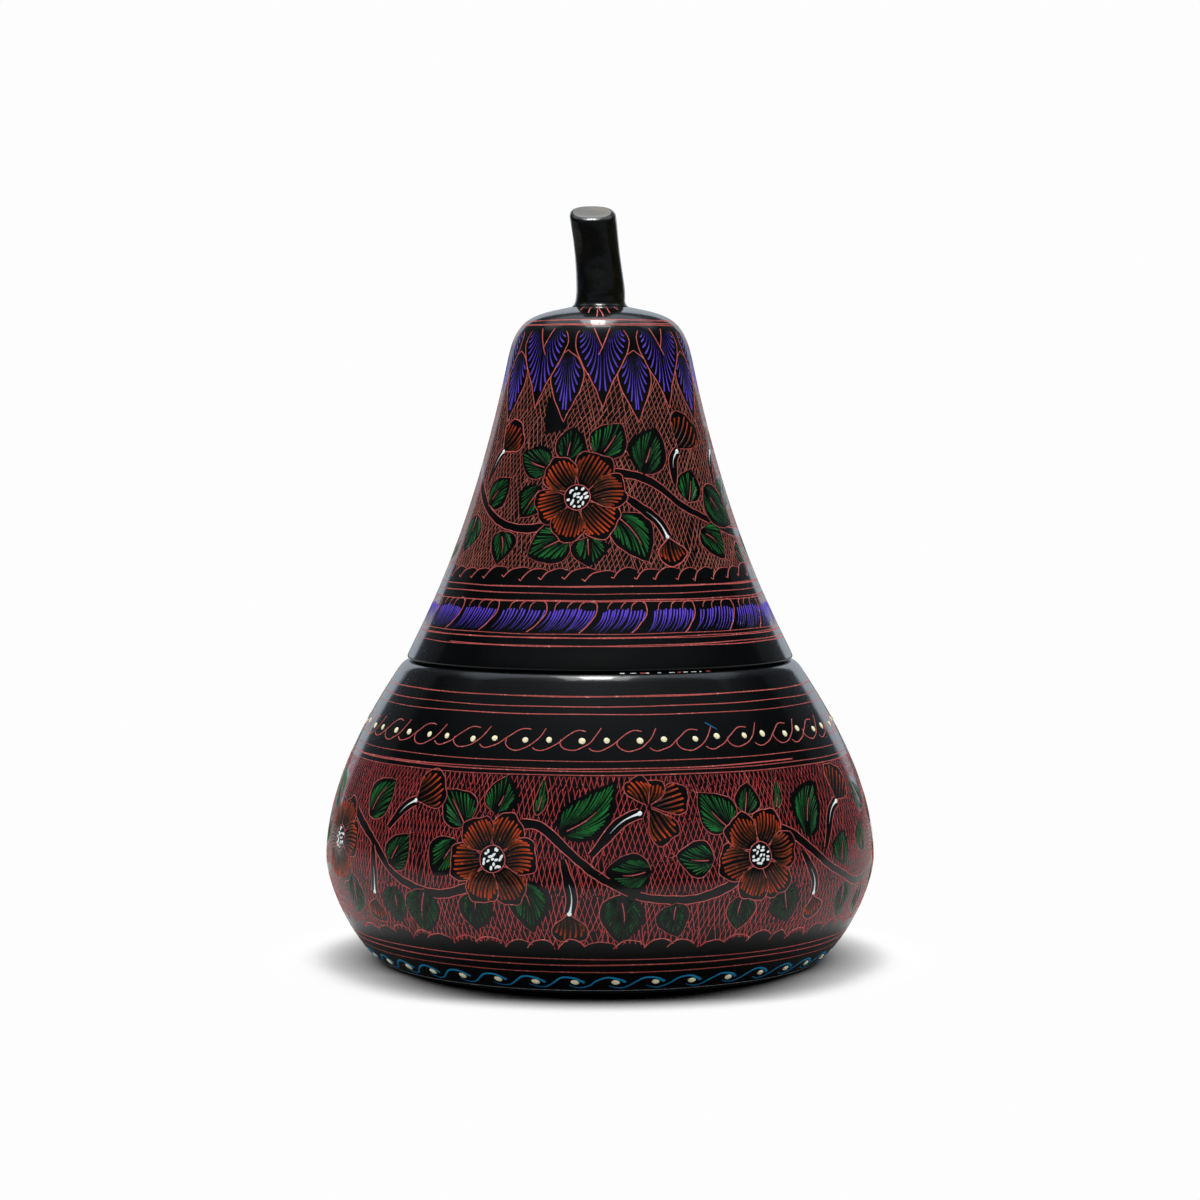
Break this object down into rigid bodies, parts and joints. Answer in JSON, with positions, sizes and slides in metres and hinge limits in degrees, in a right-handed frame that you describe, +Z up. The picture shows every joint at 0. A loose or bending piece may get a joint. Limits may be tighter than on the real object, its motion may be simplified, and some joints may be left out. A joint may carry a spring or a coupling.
{
  "type": "pear-shaped lacquer box",
  "caption": "Turned wooden box in the shape of a pear, with a rounded bowl, a tall tapering lid that lifts off a spigot, and a short leaning stem as its grip.",
  "frame": {"origin": "centre of the standing face, on the turning axis", "axes": "+Z up along the turning axis, -Y towards the side that the picture shows, +X to the right of that view"},
  "size_m": [0.1372, 0.1372, 0.188],
  "materials": {
    "black_lacquer": "wood turned thin and coated with black lac, polished to a high gloss, etched with fine coloured lines; the inside is coated with deep red lac",
    "stem_lacquer": "carved wood coated with brown-black lac, high gloss, with a slightly uneven hand-worked surface",
    "inside_lacquer": null,
    "etched_colours": "fine lines cut through the black lac and filled with coloured lac: dusty red, purple, green, orange-red, blue and cream"
  },
  "bodies": {
    "bowl": {"bowl": "black_lacquer"},
    "lid": {"lid": "black_lacquer", "stem": "stem_lacquer"}
  },
  "joints": [
    {"name": "lid_lift", "type": "slide", "parent": "bowl", "child": "lid", "axis": [0, 0, 1], "range_m": [0, 0.1]}
  ]
}
